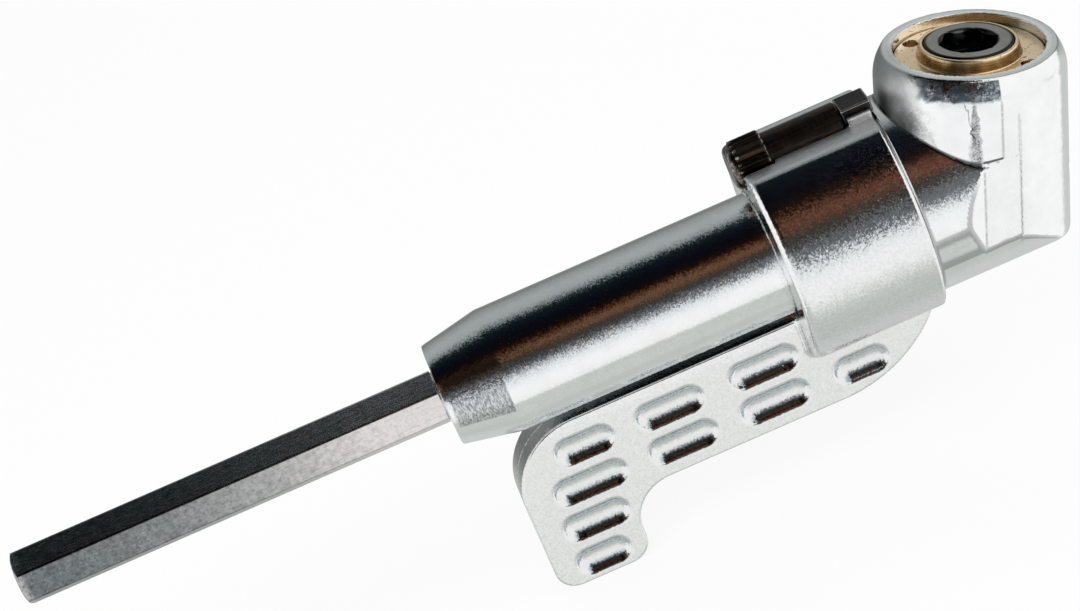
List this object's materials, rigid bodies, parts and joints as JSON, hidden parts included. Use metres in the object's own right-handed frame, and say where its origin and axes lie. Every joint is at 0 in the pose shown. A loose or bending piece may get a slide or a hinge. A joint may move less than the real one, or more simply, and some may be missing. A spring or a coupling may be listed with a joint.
{
  "type": "right angle drill attachment",
  "caption": "Right angle screwdriving attachment: hexagonal shank, cast body, geared head with a magnetic hexagonal bit socket, and a turning finger plate on a clamp collar.",
  "frame": {"origin": "centre of the nose face, where the hexagonal shank leaves the body", "axes": "+X along the shank axis towards the head, +Z to the side that the bit socket faces, in the plane of the two axes"},
  "size_m": [0.1402, 0.0284, 0.0495],
  "materials": {
    "plated_casting": "satin plating over a fine cast grain",
    "bronze": "sintered, oil filled",
    "brass": "turned and slightly worn",
    "shank_steel": "drawn hexagon with fine scratches",
    "gear_steel": "sintered, lightly oiled",
    "washer_steel": "ground",
    "spring_steel": "dark spring temper",
    "black_oxide": "black oxide",
    "magnet": "nickel plated"
  },
  "bodies": {
    "housing": {"housing": "plated_casting", "nose_bush": "bronze", "inner_bush": "bronze", "nose_ring": "spring_steel", "bearing_nut": "brass", "tail_bush": "bronze", "thrust_pad": "washer_steel", "collar_ring": "spring_steel"},
    "input_spindle": {"drive_shaft": "shank_steel", "input_gear": "gear_steel", "input_washer": "washer_steel", "gear_screw": "black_oxide"},
    "output_spindle": {"bit_socket": "black_oxide", "output_gear": "gear_steel", "gear_clip": "spring_steel", "output_washer": "washer_steel", "bit_magnet": "magnet", "bit_ring": "spring_steel"},
    "handle": {"finger_handle": "plated_casting", "friction_washer": "washer_steel"},
    "lock_screw": {"lock_screw": "black_oxide"},
    "lock_jaw": {"lock_jaw": "black_oxide"}
  },
  "joints": [
    {"name": "input_spin", "type": "hinge", "parent": "housing", "child": "input_spindle", "pos_m": [0, 0, 0], "axis": [1, 0, 0], "continuous": true},
    {"name": "output_spin", "type": "hinge", "parent": "housing", "child": "output_spindle", "pos_m": [0.0701, 0, 0], "axis": [0.2588, 0, 0.9659], "continuous": true},
    {"name": "handle_turn", "type": "hinge", "parent": "housing", "child": "handle", "pos_m": [0, 0, 0], "axis": [1, 0, 0], "continuous": true},
    {"name": "lock_screw_turn", "type": "hinge", "parent": "handle", "child": "lock_screw", "pos_m": [0.05, 0, 0.01265], "axis": [1, 0, 0], "range_deg": [0, 270]},
    {"name": "lock_jaw_slide", "type": "slide", "parent": "handle", "child": "lock_jaw", "axis": [1, 0, 0], "range_m": [0, 0.00053]}
  ],
  "couplings": [
    {"joint": "output_spin", "follows": "input_spin", "ratio": 1},
    {"joint": "lock_jaw_slide", "follows": "lock_screw_turn", "m_per_rad": 0.00011141}
  ]
}
